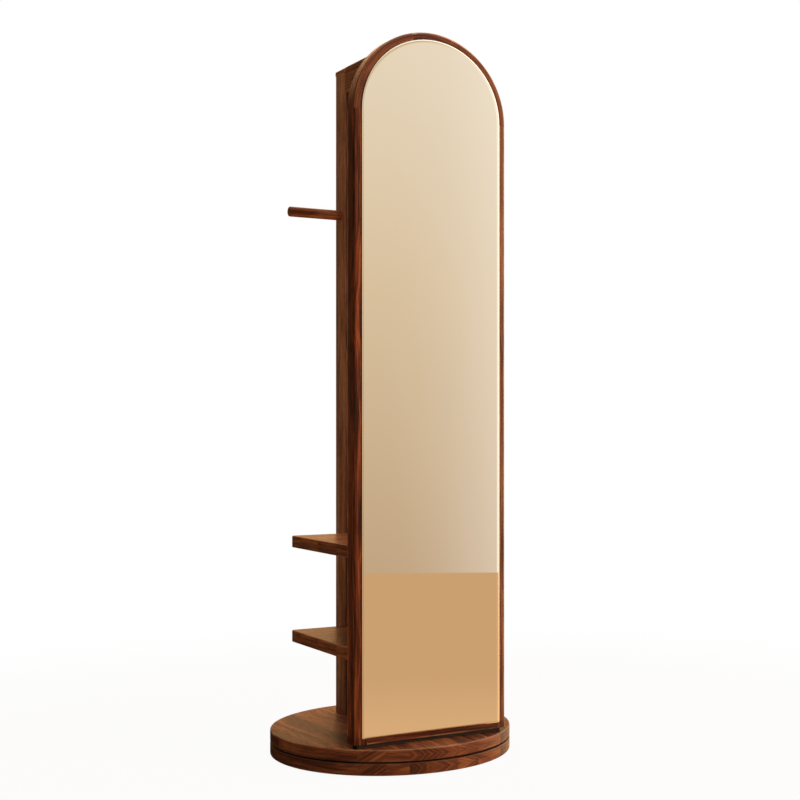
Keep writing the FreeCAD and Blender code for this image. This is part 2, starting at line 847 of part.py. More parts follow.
def every_part():
    """Every piece of the mirror, by its name."""
    parts = {**base_parts(), **turntable_parts(), **mirror_parts(), **frame_pieces()}
    parts.update(shelf_parts("lower", lower_shelf_top))
    parts.update(shelf_parts("upper", upper_shelf_top))
    parts.update(stretcher_parts())
    parts.update(column_parts())
    return parts


def main():
    os.makedirs("parts", exist_ok=True)
    for name, shape in every_part().items():
        if not shape.Solids or not shape.isValid():
            raise ValueError(f"{name} is not a valid solid")
        whole = shape.Solids[0] if len(shape.Solids) == 1 else Part.makeCompound(shape.Solids)
        whole.exportStep(f"parts/{name}.step")
        print(name, len(shape.Solids), "solids", round(whole.Volume), "mm3")


main()
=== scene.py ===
import math

import bpy
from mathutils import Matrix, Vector


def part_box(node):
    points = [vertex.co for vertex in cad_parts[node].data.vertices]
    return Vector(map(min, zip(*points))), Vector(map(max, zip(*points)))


# Looks of the rotating floor mirror with a clothes rack. Metres.
# The glass faces -Y, +Z is up, and the turning axis passes through the origin.
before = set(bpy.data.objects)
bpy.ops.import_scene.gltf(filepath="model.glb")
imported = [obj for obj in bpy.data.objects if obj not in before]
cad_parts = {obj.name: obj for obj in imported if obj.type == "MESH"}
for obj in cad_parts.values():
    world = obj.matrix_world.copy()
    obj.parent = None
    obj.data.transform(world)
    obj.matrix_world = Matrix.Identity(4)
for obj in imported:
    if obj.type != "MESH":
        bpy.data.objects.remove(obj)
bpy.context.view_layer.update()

# The photograph's camera: where its axis meets the image, its sensor's width in millimetres, its place
# and its turn
image_size = 800
focal_pixels = 1459.2
axis_pixel_x = 561.91
axis_pixel_y = 423.41
sensor_width = 36.0
camera_place = Vector((-1.54636, -3.24613, 0.79575))
camera_turn = math.radians(32.154)

# Places read from the frame
frame_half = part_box("frame_stile_right")[1].x
frame_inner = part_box("frame_stile_right")[0].x
frame_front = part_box("frame_stile_right")[0].y
arch_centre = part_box("frame_stile_right")[1].z
glass_low, glass_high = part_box("mirror_glass")
arch_reach = (frame_half + frame_inner) / 2
disc_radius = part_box("turntable_disc")[1].x
disc_gap = (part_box("base_disc")[1].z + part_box("turntable_disc")[0].z) / 2


def paint(red, green, blue):
    """A colour given as the 0 to 255 numbers that a screen shows."""
    def linear(value):
        share = value / 255
        return share / 12.92 if share <= 0.04045 else ((share + 0.055) / 1.055) ** 2.4
    return (linear(red), linear(green), linear(blue), 1.0)


class Value:
    """A node's output that Python's operators can work with."""

    def __init__(self, graph, socket):
        self.graph = graph
        self.socket = socket

    def math(self, operation, *others):
        return self.graph.add("ShaderNodeMath", {"operation": operation}, dict(enumerate((self, *others))))

    def __add__(self, other):
        return self.math("ADD", other)

    def __sub__(self, other):
        return self.math("SUBTRACT", other)

    def __mul__(self, other):
        return self.math("MULTIPLY", other)

    def __truediv__(self, other):
        return self.math("DIVIDE", other)

    def __pow__(self, other):
        return self.math("POWER", other)

    def __rsub__(self, other):
        return (self * -1.0) + other

    __radd__ = __add__
    __rmul__ = __mul__

    def between(self, low, high):
        """0 below one value, 1 above the other and a smooth step from one to the other."""
        values = {"Value": self, "From Min": low, "From Max": high}
        settings = {"interpolation_type": "SMOOTHSTEP"}
        return self.graph.add("ShaderNodeMapRange", settings, values)

    def spread(self, low, high):
        """The range 0 to 1 laid out from low to high."""
        return self * (high - low) + low


def wave(kind, angle):
    """The sine or cosine of a plain number, or of a value that changes over the surface."""
    if isinstance(angle, Value):
        return angle.math(kind)
    return {"SINE": math.sin, "COSINE": math.cos}[kind](angle)


class Graph:
    """The node tree of a material or of the world."""

    def __init__(self, tree):
        self.tree = tree
        tree.nodes.clear()

    def node(self, kind, settings=None, values=None):
        """Adds any node: first its settings, then the values or links of its sockets."""
        node = self.tree.nodes.new(kind)
        for name, setting in (settings or {}).items():
            if name == "stops":
                self.place_stops(node.color_ramp, setting)
            else:
                setattr(node, name, setting)
        for name, value in (values or {}).items():
            if isinstance(value, Value):
                self.tree.links.new(value.socket, node.inputs[name])
            else:
                node.inputs[name].default_value = value
        return node

    def add(self, kind, settings=None, values=None, output=0):
        """Adds a node and gives one of its outputs."""
        return Value(self, self.node(kind, settings, values).outputs[output])

    def place_stops(self, ramp, stops):
        while len(ramp.elements) < len(stops):
            ramp.elements.new(1.0)
        for element, (place, colour) in zip(ramp.elements, stops):
            element.position = place
            element.color = colour

    def point(self):
        """Each point in the object's own coordinates, as one vector."""
        return self.add("ShaderNodeTexCoord", output="Object")

    def place(self):
        """Each point's own X, Y and Z."""
        return self.split(self.point())

    def normal(self):
        """The way that the surface faces at each point, as its own X, Y and Z."""
        return self.split(self.add("ShaderNodeTexCoord", output="Normal"))

    def split(self, vector):
        outputs = self.node("ShaderNodeSeparateXYZ", values={0: vector}).outputs
        return [Value(self, output) for output in outputs]

    def vector(self, x, y, z):
        return self.add("ShaderNodeCombineXYZ", values={0: x, 1: y, 2: z})

    def stretched(self, shares):
        """Each point with its X, Y and Z multiplied by a number each."""
        return self.vector(*(value * share for value, share in zip(self.place(), shares)))

    def noise(self, vector, detail=2.0, roughness=0.5, scale=1.0):
        values = {"Vector": vector, "Scale": scale, "Detail": detail, "Roughness": roughness}
        return self.add("ShaderNodeTexNoise", values=values)

    def mix(self, share, first, second):
        """Two colours mixed: Mix holds its colour sockets at 6 and 7, and its colour result at 2."""
        return self.add("ShaderNodeMix", {"data_type": "RGBA"}, {0: share, 6: first, 7: second}, output=2)

    def scaled(self, colour, share):
        """A colour made brighter or darker by a number."""
        return self.add("ShaderNodeVectorMath", {"operation": "SCALE"}, {0: colour, "Scale": share})

    def ramp(self, share, stops):
        return self.add("ShaderNodeValToRGB", {"stops": stops}, {"Fac": share})

    def bump(self, height, distance, strength):
        values = {"Height": height, "Distance": distance, "Strength": strength}
        return self.add("ShaderNodeBump", values=values)

    def emission(self, colour):
        return self.add("ShaderNodeEmission", values={"Color": colour, "Strength": 1.0})

    def rays(self, *names):
        """Which kinds of ray a point is seen by, 1 or 0 each."""
        outputs = self.node("ShaderNodeLightPath").outputs
        return [Value(self, outputs[name]) for name in names]

    def show(self, shader, output="ShaderNodeOutputMaterial"):
        """Puts a shader on the tree's output."""
        self.node(output, values={0: shader})


class MaterialGraph(Graph):
    """A new material with its node tree."""

    def __init__(self, name):
        self.material = bpy.data.materials.new(name)
        self.material.use_nodes = True
        super().__init__(self.material.node_tree)

    def finish(self, **values):
        """Sets the Principled surface. A name's underscores stand for the socket's spaces."""
        named = {name.replace("_", " "): value for name, value in values.items()}
        self.show(self.add("ShaderNodeBsdfPrincipled", values=named))
        return self.material


def centre_of(node):
    low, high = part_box(node)
    return (low + high) / 2


# Wood, from its darkest tone to its lightest

walnut_tones = (
    (0.00, paint(38, 13, 4)),
    (0.25, paint(80, 31, 11)),
    (0.50, paint(124, 55, 23)),
    (0.75, paint(164, 81, 38)),
    (1.00, paint(200, 116, 62)),
)
pale_walnut_tones = (
    (0.00, paint(44, 18, 8)),
    (0.25, paint(88, 41, 20)),
    (0.50, paint(132, 70, 37)),
    (0.75, paint(172, 100, 58)),
    (1.00, paint(208, 136, 86)),
)
# Paler, greyer walnut whose tones paint a sheen
sheen_walnut_tones = (
    (0.00, paint(50, 25, 14)),
    (0.25, paint(92, 50, 30)),
    (0.50, paint(136, 82, 52)),
    (0.75, paint(176, 114, 76)),
    (1.00, paint(212, 148, 106)),
)
# Near-black: partly stain, partly painted shade in the gap under the frame
stain_and_shade_tones = (
    (0.00, paint(16, 11, 8)),
    (1.00, paint(64, 50, 38)),
)
beech_tones = (
    (0.00, paint(176, 134, 92)),
    (1.00, paint(222, 186, 142)),
)

# Each kind of mark: its width across the grain, its length along it, how finely it is broken up,
# and how far the noise has to swing from its middle for the mark to be full or gone
drift_marks = (0.250, 0.80, 3.0, 0.25)
wander_marks = (0.055, 0.24, 1.0, 0.30)
band_marks = (0.020, 0.90, 2.0, 0.12)
flame_marks = (0.0045, 0.150, 3.0, 0.17)
fleck_marks = (0.0020, 0.045, 2.0, 0.17)
pore_marks = (0.0008, 0.025, 2.0, 0.12)
marks_roughness = 0.55
noise_middle = 0.5

# How finely the other noises are broken up: haze, wear, stains and speckles
fine_detail = 3.0

# How far the heart of the tree lies from the board's middle, how far the grain wanders and drifts,
# and how the growth rings follow each other
pith_reach = 0.055
wander_reach = 0.011
drift_reach = 0.050
ring_spacing = 0.0075
ring_drift = 1.5
ring_sharpness = 3.0
flame_wander = 6.0

# How much each kind of mark counts, and the tone that the middle of the pattern gets
band_share = 0.34
flame_share = 0.46
fleck_share = 0.14
ring_share = 0.12
pattern_middle = 0.44
tone_middle = 0.47

# Open pores, and the oiled finish over them
pore_limits = (0.70, 0.95)
pore_shade = 0.32
pore_roughness = 0.16
roughness_swing = (-0.03, 0.05)
wood_specular = 0.20
fleck_height = 0.4
grain_depth = 0.0002
grain_strength = 0.20
satin_dullness = 0.31

# Edges made lighter in patches, partly by wear and partly by a painted highlight along their roundings
wear_and_sheen_tone = paint(212, 150, 108)
wear_and_sheen_width = (0.0012, 0.0040)
wear_and_sheen_share = 0.34
bold_wear_and_sheen_width = (0.0022, 0.0068)
bold_wear_and_sheen_share = 0.60
worn_roughness = 0.08
patch_scale = 16.0
patch_limits = (0.38, 0.62)
patch_least = 0.25

# Painted shade at the foot of the stiles, below the glass: darker towards the bottom
foot_painted_shade = -0.15
foot_height = (0.080, 0.092)

# Painted shade on the front faces of the column's sides, which stand in the frame's shadow
front_painted_shade = -0.34

# A point counts as on a board's face when its normal's share along that face's axis passes these
face_limits = (0.60, 0.75)

# How far along the timber each piece is cut, and how each stave of a glued-up board differs from the next
seed_shift = 3.1
stave_shift = 1.37
stave_turn = 2.4
stave_tone_turn = 5.0
stave_tone_swing = 0.05

# The veneer round a disc's rim repeats once. Each stave: where it starts, how steeply its grain runs,
# whether the grain folds into chevrons, and how much lighter the stave is
rim_repeat = math.pi * disc_radius
rim_depth = 0.37
rim_shade = 0.02
rim_calm = 0.40
# The staves from 0.032 and 0.095 are lighter partly as a painted sheen on the lamp side of the rim
rim_staves = (
    (-0.205, -0.60, 0.0, 0.01), (-0.140, 0.00, 0.0, 0.04), (-0.087, 0.90, 1.0, 0.00),
    (-0.047, 0.55, 1.0, 0.07), (0.032, 0.30, 1.0, 0.14), (0.095, 0.00, 0.0, 0.18),
    (0.190, 0.00, 0.0, -0.10),
)

# Painted shade: a dark line along the gap between the discs
gap_shade_reach = (0.0015, 0.0055)
gap_shade_share = 0.85


def board_directions(graph, node, grain):
    """Across, through and along the grain at each point, from a board's middle or round the arch."""
    x, y, z = graph.place()
    if grain == "arch":
        rise = z - arch_centre
        reach = (x * x + rise * rise) ** 0.5
        turn = x.math("ARCTAN2", rise)
        return reach - arch_reach, y - frame_front, turn * arch_reach
    place, middle = (x, y, z), centre_of(node)
    across, through, along = {"x": (1, 2, 0), "y": (0, 2, 1), "z": (0, 1, 2)}[grain]
    return place[across] - middle[across], place[through] - middle[through], place[along]


def rim_directions(graph, node):
    """The same for the veneer round a disc's rim, with each stave's number and lightness."""
    x, y, z = graph.place()
    run = x.math("ARCTAN2", y * -1.0) * disc_radius
    run = run - (run / rim_repeat).math("ROUND") * rim_repeat
    height = z - centre_of(node).z
    number = lean = folded = lift = 0.0
    last = (0.0, 0.0, 0.0)
    for start, *stave in rim_staves:
        passed = run.math("GREATER_THAN", start)
        changes = [new - old for new, old in zip(stave, last)]
        last = stave
        number = number + passed
        lean, folded, lift = (value + passed * change for value, change in zip((lean, folded, lift), changes))
    across = height + (height.math("ABSOLUTE") - height) * folded + run * lean
    return (across, number * rim_depth, run), number, lift


def end_directions(graph):
    """The same for the veneer on a shelf's ends."""
    x, y, z = graph.place()
    return z, x, y


def stave_directions(graph, node, place, stave, edges, lift, contrast):
    """The same for a board that is glued up of staves, with each stave's number. Veneer covers the
    narrow faces, and round a rim it has its own lightness and a calmer grain."""
    across, through, along = place
    number = (across / stave).math("FLOOR")
    across = across - (number + 0.5) * stave
    along = along + number * stave_shift
    facing = graph.normal()
    if edges == "disc":
        veneered = 1.0 - facing[2].math("ABSOLUTE").between(*face_limits)
        veneer, rim_number, rim_lift = rim_directions(graph, node)
        number = number + (rim_number - number) * veneered
        # The rim staves' lightness, partly a painted sheen
        lift = veneered * (rim_lift + rim_shade) + lift
        contrast = (1.0 - veneered * rim_calm) * contrast
    else:
        veneered = facing[0].math("ABSOLUTE").between(*face_limits)
        veneer = end_directions(graph)
    place = [plain + (face - plain) * veneered for plain, face in zip((across, through, along), veneer)]
    return place, number, lift, contrast


def marks(graph, across, through, along, kind):
    """Uneven marks of one kind that run with the grain, from 0 to 1."""
    width, length, detail, swing = kind
    place = graph.vector(across / width, through / width, along / length)
    limits = (noise_middle - swing, noise_middle + swing)
    return graph.noise(place, detail, marks_roughness).between(*limits)


def wood_marks(graph, place, turn):
    """The rings round the tree's heart with the bands, flames, flecks and pores that cross a board.
    The turn is the direction in which the heart lies."""
    across, through, along = place
    drift = marks(graph, across, through, along, drift_marks)
    across = across + (marks(graph, across, through, along, wander_marks) - 0.5) * wander_reach
    side = across - wave("SINE", turn) * pith_reach
    depth = through - wave("COSINE", turn) * pith_reach
    reach = (side * side + depth * depth) ** 0.5 + drift * drift_reach
    rings = (reach / ring_spacing + drift * ring_drift).math("FRACT") ** ring_sharpness
    bands = marks(graph, reach, turn, along, band_marks)
    flames = marks(graph, across, through, along + reach * flame_wander, flame_marks)
    flecks = marks(graph, across, through, along, fleck_marks)
    pores = marks(graph, across, through, along, pore_marks).between(*pore_limits)
    pattern = bands * band_share + flames * flame_share + flecks * fleck_share - rings * ring_share
    return pattern, flames, flecks, pores


def edge_gap(graph, node, edges):
    """How far each point lies from the nearest edge that gets wear and a painted highlight. Edges are named
    by the two axes that
    they lie across, or by a word: all of a shelf's, a disc's rim, the outside of the arch, and for an
    upright the frame's outside or only its outer back edge. The word bold adds more wear and highlight."""
    x, y, z = graph.place()
    low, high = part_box(node)
    gaps = {name: (value - least).math("MINIMUM", most - value)
            for name, value, least, most in zip("xyz", (x, y, z), low, high)}
    if edges == "disc":
        return (disc_radius - (x * x + y * y) ** 0.5).math("MAXIMUM", gaps["z"])
    if edges.startswith("arch"):
        rise = z - arch_centre
        return (frame_half - (x * x + rise * rise) ** 0.5).math("MAXIMUM", gaps["y"])
    if edges.startswith("outer"):
        return (frame_half - x.math("ABSOLUTE")).math("MAXIMUM", gaps["y"])
    if edges.startswith("back"):
        return (frame_half - x.math("ABSOLUTE")).math("MAXIMUM", high.y - y)
    if edges == "all":
        least = gaps["x"].math("MINIMUM", gaps["y"])
        most = gaps["x"].math("MAXIMUM", gaps["y"])
        return least.math("MAXIMUM", gaps["z"]).math("MINIMUM", most)
    first, second = (gaps[name] for name in edges)
    return first.math("MAXIMUM", second)


def wear_and_sheen_edges(graph, node, edges, foot):
    """How much wear and painted highlight each point has, from 0 to 1, and how much of their lighter tone
    that brings.
    """
    width, share = (bold_wear_and_sheen_width, bold_wear_and_sheen_share) if edges.endswith("bold") else (wear_and_sheen_width, wear_and_sheen_share)
    patches = graph.noise(graph.point(), fine_detail, scale=patch_scale).between(*patch_limits)
    wear_and_sheen = (1.0 - edge_gap(graph, node, edges).between(*width)) * patches.spread(patch_least, 1.0)
    if foot:
        wear_and_sheen = wear_and_sheen * graph.place()[2].between(*foot_height)
    return wear_and_sheen, wear_and_sheen * share


def wood(name, node, grain, seed, edges="", tones=walnut_tones, lift=0.0, contrast=1.0, stave=0.0,
         dullness=satin_dullness, foot=False, shaded_front=False):
    """Solid wood whose rings, bands, flames and pores run along one direction through the piece."""
    graph = MaterialGraph(name)
    place, turn = board_directions(graph, node, grain), seed
    if stave:
        place, number, lift, contrast = stave_directions(graph, node, place, stave, edges, lift, contrast)
        turn = number * stave_turn + seed
        lift = wave("SINE", turn * stave_tone_turn) * stave_tone_swing + lift
    height = graph.place()[2]
    # Painted shade: the stiles darker towards their foot, below the glass
    if foot:
        lift = (1.0 - height.between(*foot_height)) * foot_painted_shade + lift
    # Painted shade on the front faces of the column's sides
    if shaded_front:
        lift = (graph.normal()[1] * -1.0).between(*face_limits) * front_painted_shade + lift
    across, through, along = place
    pattern, flames, flecks, pores = wood_marks(graph, (across, through, along + seed * seed_shift), turn)
    tone = (pattern - pattern_middle) * contrast + tone_middle + lift
    colour = graph.mix(pores * pore_shade, graph.ramp(tone, tones), tones[0][1])
    rough = pores * pore_roughness + flames.spread(*(dullness + swing for swing in roughness_swing))
    # Wear, and a painted highlight along the edges' roundings
    if edges:
        wear_and_sheen, share = wear_and_sheen_edges(graph, node, edges, foot)
        colour = graph.mix(share, colour, wear_and_sheen_tone)
        rough = rough + wear_and_sheen * worn_roughness
    # Painted shade along the gap between the discs
    if edges == "disc":
        gap_shade = 1.0 - (height - disc_gap).math("ABSOLUTE").between(*gap_shade_reach)
        colour = graph.mix(gap_shade * gap_shade_share, colour, tones[0][1])
    return graph.finish(
        Base_Color=colour,
        Roughness=rough,
        Specular_IOR_Level=wood_specular,
        Normal=graph.bump(flecks * fleck_height - pores, grain_depth, grain_strength),
    )


# Silvered glass

# How much of the bevel's and of the ground edge's slope a reflection follows
bevel_slope = 0.5
seam_slope = 2.6

# How wide the ground edge looks, how much wider at the arch's crown, and how wide the dark line inside
# it. Each fades out over the last share of its width
seam_width = 0.0022
seam_growth = 0.0008
seam_fade = (0.7, 1.0)
shadow_width = 0.0022
shadow_fade = (0.5, 1.0)

# A point is on the pane's narrow side when its normal's forward share is below these
side_limits = (0.30, 0.60)

clean_silver = paint(250, 247, 242)
hazy_silver = paint(242, 238, 232)
shadow_silver = paint(226, 214, 194)
seam_silver = paint(246, 241, 230)
side_silver = paint(186, 140, 108)
haze_share = 0.25
haze_stretch = (3.0, 1.0, 2.0)
smear_stretch = (40.0, 1.0, 6.0)
silver_roughness = 0.006
smear_roughness = 0.012
seam_roughness = 0.24
side_roughness = 0.25


def mirror_silver(name):
    """Silvered glass with a faint haze. Its silver is behind the glass, so the bevel bends a
    reflection by about half of what its slope would, and the ground outer edge bends it more."""
    graph = MaterialGraph(name)
    x, _, z = graph.place()
    rise = (z - arch_centre).math("MAXIMUM", 0.0)
    reach = (x * x + rise * rise) ** 0.5
    gap = (glass_high.x - reach).math("MINIMUM", z - glass_low.z)
    width = rise / reach * seam_growth + seam_width
    seam = 1.0 - (gap / width).between(*seam_fade)
    shadow = (1.0 - ((gap - width) / shadow_width).between(*shadow_fade)) - seam
    own_x, facing, own_z = graph.normal()
    side = 1.0 - (facing * -1.0).between(*side_limits)
    slope = seam * (seam_slope - bevel_slope) + bevel_slope
    bent = graph.vector(own_x * slope, facing, own_z * slope)
    normal = graph.add("ShaderNodeVectorTransform", {
        "vector_type": "NORMAL", "convert_from": "OBJECT", "convert_to": "WORLD"}, {0: bent})
    haze = graph.noise(graph.stretched(haze_stretch), fine_detail)
    smear = graph.noise(graph.stretched(smear_stretch))
    colour = graph.mix(haze * haze_share, clean_silver, hazy_silver)
    for share, tone in ((shadow, shadow_silver), (seam, seam_silver), (side, side_silver)):
        colour = graph.mix(share, colour, tone)
    return graph.finish(
        Base_Color=colour,
        Metallic=1.0,
        Roughness=side * side_roughness + seam * seam_roughness + smear * smear_roughness + silver_roughness,
        Normal=normal,
    )


# Metal, and soft solids such as rubber

# How a metal's scratches and stains count in its colour, its roughness and its skin
metal_contrast = (0.3, 0.7)
scratch_scale = 900.0
scratch_share = 0.5
scratch_roughness = 0.16
scratch_depth = 0.00004
scratch_strength = 0.3
stain_scale = 75.0
stain_roughness = 0.12

# The same for a soft solid's speckles and patches
speckle_contrast = (0.35, 0.65)
speckle_share = 0.6
speckle_grit = 0.7
speckle_roughness = 0.15
speckle_strength = 0.4
soft_specular = 0.35
soft_patch_spread = 25


def metal(name, light, dark, rough, streak):
    """Metal with fine machining marks, stretched as the streak says, and small stains."""
    graph = MaterialGraph(name)
    scratches = graph.noise(graph.stretched(streak), scale=scratch_scale)
    stains = graph.noise(graph.point(), fine_detail, scale=stain_scale)
    share = scratches * scratch_share + stains * (1.0 - scratch_share)
    return graph.finish(
        Base_Color=graph.mix(share.between(*metal_contrast), dark, light),
        Metallic=1.0,
        Roughness=scratches * scratch_roughness + stains * stain_roughness + rough,
        Normal=graph.bump(scratches, scratch_depth, scratch_strength),
    )


def soft_solid(name, light, dark, rough, grain, height):
    """Rubber, nylon or fibreboard: a speckled colour and a fine uneven skin."""
    graph = MaterialGraph(name)
    speckle = graph.noise(graph.point(), fine_detail, speckle_grit, grain)
    patches = graph.noise(graph.point(), scale=grain / soft_patch_spread)
    share = speckle * speckle_share + patches * (1.0 - speckle_share)
    return graph.finish(
        Base_Color=graph.mix(share.between(*speckle_contrast), dark, light),
        Roughness=speckle * speckle_roughness + rough,
        Specular_IOR_Level=soft_specular,
        Normal=graph.bump(speckle, height, speckle_strength),
    )


# Which piece gets which wood. Each board: its grain's direction, its edges with wear and a painted highlight,
# how much lighter it is and how strong its grain is; for some pieces that lightness paints light and shade.
# Each glued-up board adds the width of its staves and its finish's roughness

# Their darker tones and lower lifts paint the shade on the frame's left stile and on its sill under the glass
shaded_boards = (
    ("frame_stile_left", "z", "back bold", -0.06, 1.00),
    ("frame_lower_rail", "x", "yz", -0.18, 0.70),
)
pale_boards = (
    ("frame_arch_left", "arch", "arch", -0.10, 0.65),
    ("frame_arch_crown", "arch", "arch bold", -0.20, 0.60),
    ("frame_arch_right", "arch", "arch bold", -0.14, 0.70),
    ("top_stretcher", "y", "xz", 0.02, 0.80),
    ("column_cap", "x", "all", 0.10, 0.80),
    ("clothes_rail", "x", "", 0.14, 0.80),
)
# Greyer tones paint a sheen on the right stile and the column; the column sides' higher lift paints light on
# them, the front board's lower lift paints shade
sheened_and_lit_boards = (
    ("frame_stile_right", "z", "outer bold", -0.08, 0.50),
    ("column_side_left", "z", "xy", 0.20, 0.65),
    ("column_side_right", "z", "xy", 0.20, 0.65),
    ("column_front_board", "z", "", -0.10, 0.65),
    ("column_back_board", "z", "", 0.08, 0.65),
)
stave_boards = (
    ("base_disc", "y", "disc", -0.17, 1.00, 0.080, 0.40),
    ("turntable_disc", "y", "disc", -0.15, 1.05, 0.080, 0.40),
    ("lower_shelf", "x", "all", -0.07, 0.75, 0.110, 0.30),
    ("upper_shelf", "x", "all", -0.04, 0.75, 0.110, 0.30),
    ("back_panel", "z", "", 0.0, 0.80, 0.125, 0.36),
)
beech_pieces = (
    ("frame_dowels", "z"), ("lower_shelf_dowels", "y"), ("upper_shelf_dowels", "y"),
    ("stretcher_dowels", "y"), ("column_foot_block", "z"), ("column_rail_block", "z"),
    ("column_top_block", "z"), ("column_lower_block", "z"), ("column_upper_block", "z"),
)

# How far apart the pieces of one kind are cut from the timber, and how dull the plain woods are
board_step = 2.1
stave_board_step = 1.3
beech_step = 0.9
beech_dullness = 0.6
plinth_seed = 1.0
plinth_dullness = 0.55


def dress(node, material):
    """Gives a node of the frame its finish."""
    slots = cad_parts[node].data.materials
    slots.clear()
    slots.append(material)


def dress_wood():
    """Every wooden piece gets its own stretch of timber, so no two look alike."""
    for tones, boards in (
            (walnut_tones, shaded_boards), (pale_walnut_tones, pale_boards), (sheen_walnut_tones, sheened_and_lit_boards)):
        for number, (node, grain, edges, lift, contrast) in enumerate(boards, start=1):
            dress(node, wood(f"walnut_{node}", node, grain, number * board_step, edges, tones, lift, contrast,
                             foot="stile" in node, shaded_front="column_side" in node))
    for number, (node, grain, edges, lift, contrast, stave, dullness) in enumerate(stave_boards, start=1):
        dress(node, wood(f"walnut_{node}", node, grain, number * stave_board_step, edges,
                         pale_walnut_tones, lift, contrast, stave, dullness))
    for number, (node, grain) in enumerate(beech_pieces, start=1):
        dress(node, wood(f"beech_{node}", node, grain, number * beech_step,
                         tones=beech_tones, dullness=beech_dullness))
    # The plinth: near-black, partly stain and partly painted shade of the gap it sits in
    dress("frame_plinth", wood("stain_and_shade_plinth", "frame_plinth", "x", plinth_seed,
                               tones=stain_and_shade_tones, dullness=plinth_dullness))


# Each metal: its name, its light and dark tone, its roughness, how its marks are stretched, and its pieces
metals = (
    ("ground_steel", paint(196, 196, 194), paint(150, 150, 150), 0.24, (1.0, 1.0, 6.0), (
        "bearing_lower_ring", "bearing_upper_ring", "bearing_ball_cage")),
    ("polished_steel", paint(232, 232, 232), paint(206, 206, 208), 0.05, (1.0, 1.0, 1.0), (
        "bearing_balls",)),
    ("zinc_plate", paint(206, 206, 198), paint(160, 162, 158), 0.30, (1.0, 1.0, 1.0), (
        "foot_pad_screws", "bearing_lower_screws", "bearing_upper_screws", "pivot_bolt", "pivot_washer",
        "frame_bolts", "column_bolts", "lower_shelf_nuts", "upper_shelf_nuts", "stretcher_nuts",
        "column_nuts", "lower_shelf_screws", "upper_shelf_screws", "stretcher_screws")),
    ("black_oxide", paint(58, 56, 54), paint(34, 32, 31), 0.38, (1.0, 1.0, 1.0), (
        "lower_shelf_bolts", "upper_shelf_bolts", "stretcher_bolts", "rail_screw", "back_panel_screws")),
    ("turned_brass", paint(214, 176, 104), paint(176, 136, 72), 0.26, (1.0, 1.0, 5.0), (
        "pivot_insert", "frame_sleeves")),
)

# Each soft solid: its name, its piece, its light and dark tone, its roughness, how fine its speckles are
# and how uneven its skin is
soft_solids = (
    ("fibreboard", "backing_panel", paint(150, 116, 82), paint(118, 88, 60), 0.75, 1800.0, 0.0001),
    ("black_rubber", "foot_pads", paint(44, 43, 42), paint(28, 27, 27), 0.7, 900.0, 0.0001),
    ("white_nylon", "pivot_bush", paint(226, 222, 210), paint(206, 200, 186), 0.4, 600.0, 0.00005),
)


def dress_the_rest():
    """Glass, metal, rubber, nylon and fibreboard."""
    dress("mirror_glass", mirror_silver("silvered_glass"))
    for name, node, light, dark, rough, grain, height in soft_solids:
        dress(node, soft_solid(name, light, dark, rough, grain, height))
    for name, light, dark, rough, streak, nodes in metals:
        finish = metal(name, light, dark, rough, streak)
        for node in nodes:
            dress(node, finish)


# Studio: floor, walls that only reflections show, and lights

white = (1.0, 1.0, 1.0, 1.0)
floor_half = 30.0
floor_white_near = 0.95
floor_shade_radius = 0.9
floor_clear_radius = 2.4
floor_colour = paint(206, 180, 150)
floor_reflected = paint(208, 166, 120)
studio_radius = 4.6
studio_height = 7.0
studio_sides = 128

# The wall's tones by the share of its height, and two tones that it takes on in some directions
wall_tones = (
    (0.00, paint(198, 170, 136)),
    (0.22, paint(222, 200, 168)),
    (0.40, paint(236, 221, 197)),
    (0.47, paint(226, 204, 166)),
    (0.62, paint(226, 204, 166)),
    (0.80, paint(255, 249, 238)),
)
wall_bright = paint(248, 241, 230)
wall_bright_share = 0.85
wall_bright_turn = (math.radians(22), math.radians(40))
wall_warm = paint(232, 180, 124)
wall_warm_turn = (math.radians(104), math.radians(132))

# How brightly the floor, the wall and the wall's upper part show in reflections, by the direction in
# degrees from the middle, counted from -Y towards +X
floor_near_gain = 0.14
floor_near = (0.5, 1.5)
floor_peak = 2.6
floor_glow = ((-180, 0.13), (-160, 0.035), (-70, 0.035), (-20, 0.36), (0, 0.385), (34, 0.385),
              (60, 1.00), (80, 1.00), (130, 0.25), (180, 0.13))
wall_peak = 4.0
wall_glow = ((-180, 0.19), (-165, 0.03), (-85, 0.03), (-35, 0.24), (0, 0.25), (27, 0.25), (36, 0.28),
             (70, 0.52), (100, 0.80), (122, 0.80), (140, 0.34), (168, 0.35), (180, 0.19))
upper_glow = ((-180, 0.45), (-155, 0.12), (-120, 0.05), (-80, 0.05), (-45, 0.17), (-8, 0.20),
              (8, 0.22), (28, 0.25), (32, 0.27), (42, 0.30), (70, 0.50), (100, 0.80), (120, 0.80),
              (135, 0.40), (152, 0.75), (170, 0.75), (180, 0.45))
upper_wall = (0.40, 0.50)
top_wall = (0.82, 0.96)
top_glow = 0.6

# The even light from all round
soft_light = (1.0, 0.97, 0.93, 1.0)
soft_strength = 0.13

# Each lamp: its place, the point it faces, its width and height, its power and its colour
lamps = (
    ("side_softbox", (1.9, -3.2, 1.55), (0.0, -0.1, 0.90), 1.6, 2.8, 108.0, (1.0, 0.96, 0.90)),
    ("top_softbox", (0.3, -0.5, 3.7), (0.0, 0.0, 0.0), 2.4, 2.4, 70.0, (1.0, 0.97, 0.93)),
    ("rear_softbox", (0.2, 2.4, 3.3), (0.0, 0.1, 1.3), 1.8, 1.2, 45.0, (1.0, 0.95, 0.88)),
)


def glow(graph, turn, shares, peak):
    """A brightness that changes with the direction."""
    stops = [(0.5 + degrees / 360, (share, share, share, 1.0)) for degrees, share in shares]
    return graph.ramp(turn / math.tau + 0.5, stops) * peak


